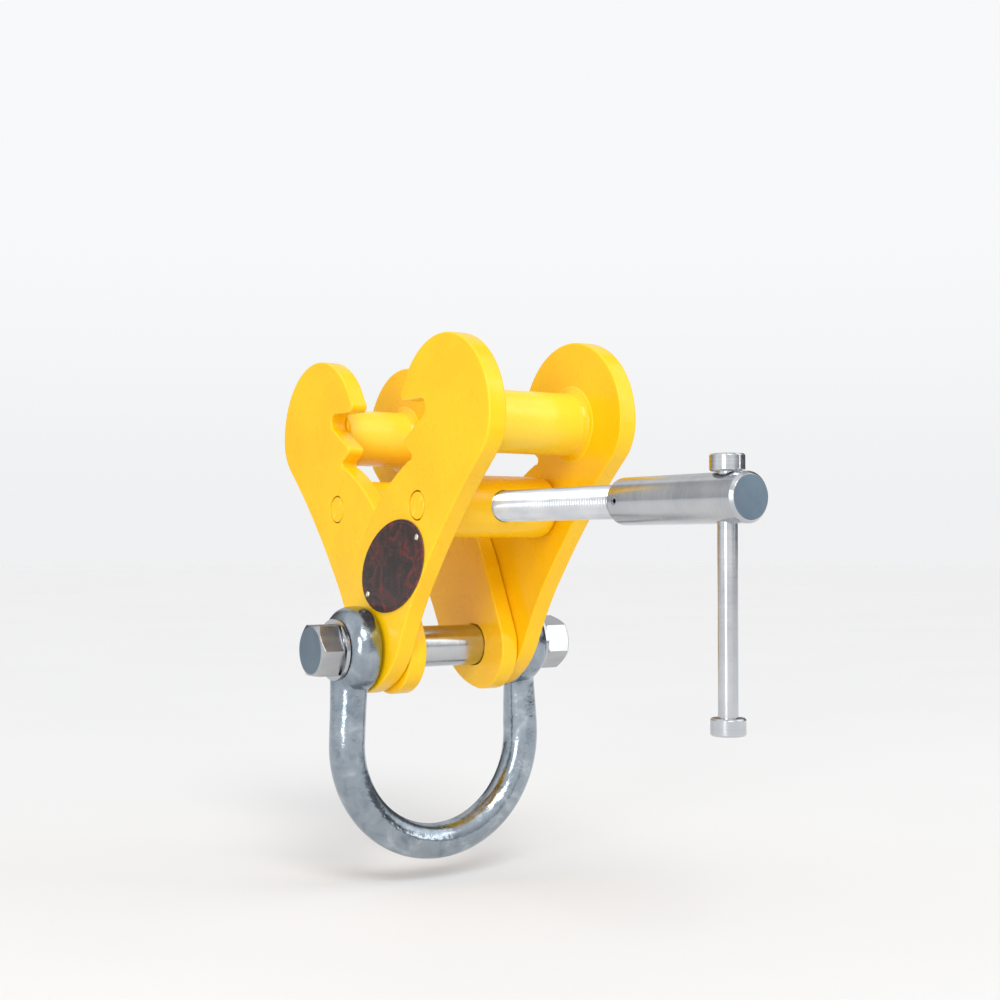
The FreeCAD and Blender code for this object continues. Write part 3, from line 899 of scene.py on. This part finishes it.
def nameplate():
    """A plain oval plate with a lightly dished rim, and two domed rivets. It carries no lettering."""
    tilt = math.radians(NAME_TILT)
    segments = 96
    layers = (  # (out from the middle plane, size), from the back face to the middle of the front
        (NAME_FACE - 1, 1.0), (NAME_FACE - 0.3, 1.0), (NAME_FACE - 0.07, 0.992),
        (NAME_FACE, 0.975), (NAME_FACE, 0.93), (NAME_FACE - 0.1, 0.915), (NAME_FACE - 0.1, 0.0),
    )
    bm = bmesh.new()
    rings = []
    for x, scale in layers:
        if scale == 0:
            rings.append([bm.verts.new((-x, -NAME_OUT, NAME_UP))])
            continue
        margin = NAME_SHORT * (1 - scale)
        ring = []
        for k in range(segments):
            turn = 2 * math.pi * k / segments
            major = (NAME_LONG - margin) * math.cos(turn)
            minor = (NAME_SHORT - margin) * math.sin(turn)
            y = -NAME_OUT - major * math.cos(tilt) + minor * math.sin(tilt)
            z = NAME_UP + major * math.sin(tilt) + minor * math.cos(tilt)
            ring.append(bm.verts.new((-x, y, z)))
        rings.append(ring)
    for one, two in zip(rings, rings[1:]):
        bridge(bm, one, two)
    bm.faces.new(rings[0])
    oval = smooth(from_millimetres("nameplate_oval", bm), 30)
    finish_piece(oval, "near_jaw", "lacquer", "nameplate")

    tilt = math.radians(RIVET_TILT)
    dome = ((0.75, 0), (0.7, 0.6), (0.5, 1.1), (0.2, 1.5), (-0.1, 1.7), (-0.3, 1.7), (-0.3, 0))
    corners = [(-NAME_FACE - rise, radius, 0) for rise, radius in dome]
    for name, way in (("upper", -1), ("lower", 1)):
        y = -NAME_OUT + way * RIVET_REACH * math.cos(tilt)
        z = NAME_UP - way * RIVET_REACH * math.sin(tilt)
        centre = (0, y * MM, z * MM + PIVOT_Z)
        rivet = smooth(lathe(f"nameplate_rivet_{name}", "x", corners, centre, 32), 60)
        finish_piece(rivet, "near_jaw", "rivet", "nameplate_rivets")


# CAD nodes that stay --------------------------------------------------------------------------

def keep_cad_nodes():
    """The plain turned and tubular pieces keep their CAD meshes and only get materials."""
    kept = {
        "near_cross_tube": "yellow_paint", "far_cross_tube": "yellow_paint",
        "washer_head_side": "turned_x", "washer_nut_side": "turned_x", "end_stop_washer": "turned_y",
        "head_roll_pin": "spring_steel", "stop_roll_pin": "spring_steel", "tommy_rod": "turned_z",
    }
    for node, material in kept.items():
        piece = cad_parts[node]
        for slot in piece.material_slots:
            slot.material = MATERIALS[material]


# Studio ---------------------------------------------------------------------------------------

def floor_under():
    """A wide pale sheet, a little below the shackle."""
    floor_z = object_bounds()[0][2] - 0.012
    bm = bmesh.new()
    bmesh.ops.create_circle(bm, cap_ends=True, radius=14, segments=96)
    bmesh.ops.translate(bm, vec=(0, 0, floor_z), verts=bm.verts)
    floor = from_bmesh("floor", bm)
    s = Shader("floor_paper", Roughness=0.9)
    s.base(s.ramp(s.noise(3, 3), (0.3, 0.80), (0.7, 0.81)))
    floor.data.materials.append(s.material)


def backdrop():
    """Soft light from the upper left, in front of a plain pale backdrop."""
    world = bpy.data.worlds.new("studio")
    bpy.context.scene.world = world
    world.use_nodes = True
    tree = world.node_tree
    where = tree.nodes.new("ShaderNodeTexCoord").outputs["Generated"]

    def sky(direction, *stops):
        """A background that varies with the angle to one direction."""
        along = tree.nodes.new("ShaderNodeVectorMath")
        along.operation = "DOT_PRODUCT"
        along.inputs[1].default_value = direction
        tree.links.new(where, along.inputs[0])
        half = tree.nodes.new("ShaderNodeMapRange")
        half.inputs["From Min"].default_value = -1.0
        tree.links.new(along.outputs["Value"], half.inputs["Value"])
        ramp = tree.nodes.new("ShaderNodeValToRGB")
        ramp.color_ramp.interpolation = "EASE"
        for i, (position, grey) in enumerate(stops):
            stop = ramp.color_ramp.elements[i] if i < 2 else ramp.color_ramp.elements.new(position)
            stop.position = position
            stop.color = (grey, grey * 1.005, grey * 1.015, 1)
        tree.links.new(half.outputs["Result"], ramp.inputs["Fac"])
        back = tree.nodes.new("ShaderNodeBackground")
        tree.links.new(ramp.outputs["Color"], back.inputs["Color"])
        return back.outputs["Background"]

    seen = sky((0, 0, 1), (0.0, 0.87), (0.5, 0.87), (0.6, 0.94), (1.0, 0.96))
    studio_light = sky(
        (-0.72, -0.42, 0.55), (0.0, 0.10), (0.40, 0.14), (0.60, 0.55), (0.78, 1.05), (1.0, 0.85),
    )
    choose = tree.nodes.new("ShaderNodeMixShader")
    tree.links.new(tree.nodes.new("ShaderNodeLightPath").outputs["Is Camera Ray"], choose.inputs[0])
    tree.links.new(studio_light, choose.inputs[1])
    tree.links.new(seen, choose.inputs[2])
    tree.links.new(choose.outputs[0], tree.nodes["World Output"].inputs["Surface"])


def lamps():
    """Three wide suns, and two strips that draw the long highlights on the metal."""
    aim = Vector((0, -0.06, -0.09))
    lights = [  # name, kind, position, size (x and y in metres, or a sun's angle), power, colour
        ("key", "SUN", (-0.5, -1.3, 1.1), (0.45, 0), 1.25, (1.0, 0.985, 0.96)),
        ("fill", "SUN", (1.2, -0.5, 0.9), (0.8, 0), 0.5, (0.97, 0.98, 1.0)),
        ("left_strip", "AREA", (-1.25, -0.85, 0.16), (0.34, 0.72), 4.2, (1.0, 1.0, 1.0)),
        ("right_strip", "AREA", (0.9, -1.1, 0.5), (0.22, 1.1), 2.2, (1.0, 1.0, 1.0)),
        ("rim", "SUN", (0.7, 1.2, 0.9), (0.9, 0), 0.35, (1.0, 1.0, 1.0)),
    ]
    for name, kind, spot, size, power, colour in lights:
        data = bpy.data.lights.new(name, kind)
        if kind == "AREA":
            data.shape = "RECTANGLE"
            data.size, data.size_y = size
        else:
            data.angle = size[0]
        data.energy = power
        data.color = colour
        light = bpy.data.objects.new(name, data)
        light.location = spot
        light.rotation_euler = (aim - Vector(spot)).to_track_quat("-Z", "Y").to_euler()
        bpy.context.scene.collection.objects.link(light)


def front_camera():
    """The photo's view; the place, the turn and the lens were fitted to edges seen in it."""
    lens = bpy.data.cameras.new("camera")
    lens.sensor_width = 36
    lens.lens = 57.893
    lens.clip_start = 0.02
    camera = bpy.data.objects.new("camera", lens)
    camera.location = (-0.45908, -0.74462, -0.0742)
    camera.rotation_euler = (math.radians(90 + 1.656), 0, math.radians(-33.905))
    bpy.context.scene.collection.objects.link(camera)
    bpy.context.scene.camera = camera


jaw_plates()
welds()
trunnions()
spindle()
tommy_bar()
pivot_bolt()
shackle()
nameplate()
keep_cad_nodes()
floor_under()
backdrop()
lamps()
front_camera()
bpy.context.scene.view_settings.view_transform = "Standard"
